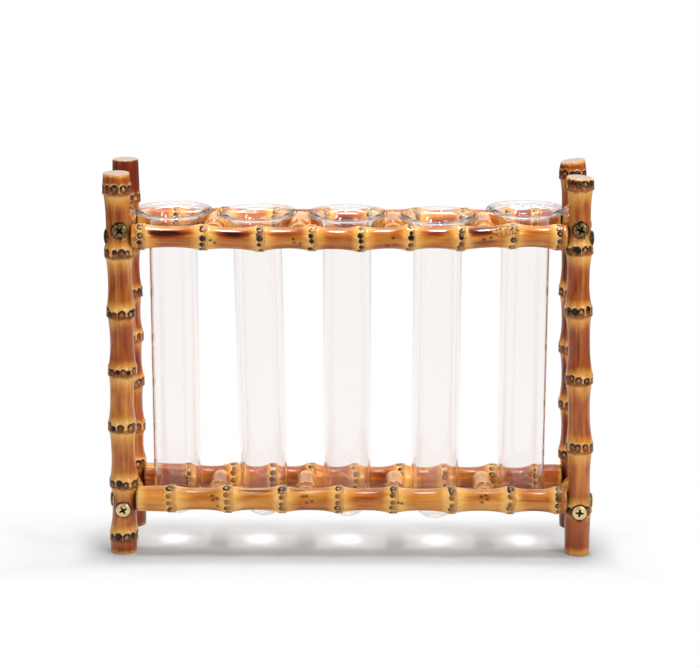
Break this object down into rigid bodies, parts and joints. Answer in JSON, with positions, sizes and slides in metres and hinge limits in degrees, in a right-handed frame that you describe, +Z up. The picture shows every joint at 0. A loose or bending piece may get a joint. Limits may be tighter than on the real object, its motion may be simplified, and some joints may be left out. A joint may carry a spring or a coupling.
{
  "type": "test tube vase",
  "caption": "Flared glass test tubes hung side by side in a rack of scorched root bamboo, each lifting out as a bud vase.",
  "frame": {"origin": "middle of the footprint, on the table that the feet stand on", "axes": "+X along the row of tubes to the right, +Y to the rear, +Z up; the front faces -Y"},
  "size_m": [0.2528, 0.0593, 0.2018],
  "materials": {
    "bamboo": "glossy lacquer over scorched root bamboo",
    "glass": "clear polished",
    "bronze": "dark antique bronze",
    "brass": "polished pale brass",
    "steel_pins": "dark"
  },
  "bodies": {
    "rack": {"post_front_left": "bamboo", "post_front_right": "bamboo", "post_rear_left": "bamboo", "post_rear_right": "bamboo", "rail_top_front": "bamboo", "rail_top_rear": "bamboo", "rail_bottom_front": "bamboo", "rail_bottom_rear": "bamboo", "side_rail_top_left": "bamboo", "side_rail_top_right": "bamboo", "side_rail_bottom_left": "bamboo", "side_rail_bottom_right": "bamboo", "divider_top_1": "bamboo", "divider_top_2": "bamboo", "divider_top_3": "bamboo", "divider_top_4": "bamboo", "divider_bottom_1": "bamboo", "divider_bottom_2": "bamboo", "divider_bottom_3": "bamboo", "divider_bottom_4": "bamboo", "bronze_screws_front": "bronze", "bronze_screws_rear": "bronze", "bronze_screws_sides": "bronze", "brass_screws_front": "brass", "brass_screws_rear": "brass", "brass_screws_sides": "brass", "front_brads": "steel_pins", "rear_brads": "steel_pins"},
    "tube_1": {"tube_1": "glass"},
    "tube_2": {"tube_2": "glass"},
    "tube_3": {"tube_3": "glass"},
    "tube_4": {"tube_4": "glass"},
    "tube_5": {"tube_5": "glass"}
  },
  "joints": [
    {"name": "tube_1_lift", "type": "slide", "parent": "rack", "child": "tube_1", "axis": [-0.0035, 0, 1], "range_m": [0, 0.17]},
    {"name": "tube_2_lift", "type": "slide", "parent": "rack", "child": "tube_2", "axis": [-0.0105, 0, 0.9999], "range_m": [0, 0.17]},
    {"name": "tube_3_lift", "type": "slide", "parent": "rack", "child": "tube_3", "axis": [-0.0035, 0, 1], "range_m": [0, 0.17]},
    {"name": "tube_4_lift", "type": "slide", "parent": "rack", "child": "tube_4", "axis": [0, 0, 1], "range_m": [0, 0.17]},
    {"name": "tube_5_lift", "type": "slide", "parent": "rack", "child": "tube_5", "axis": [0, 0, 1], "range_m": [0, 0.17]}
  ]
}
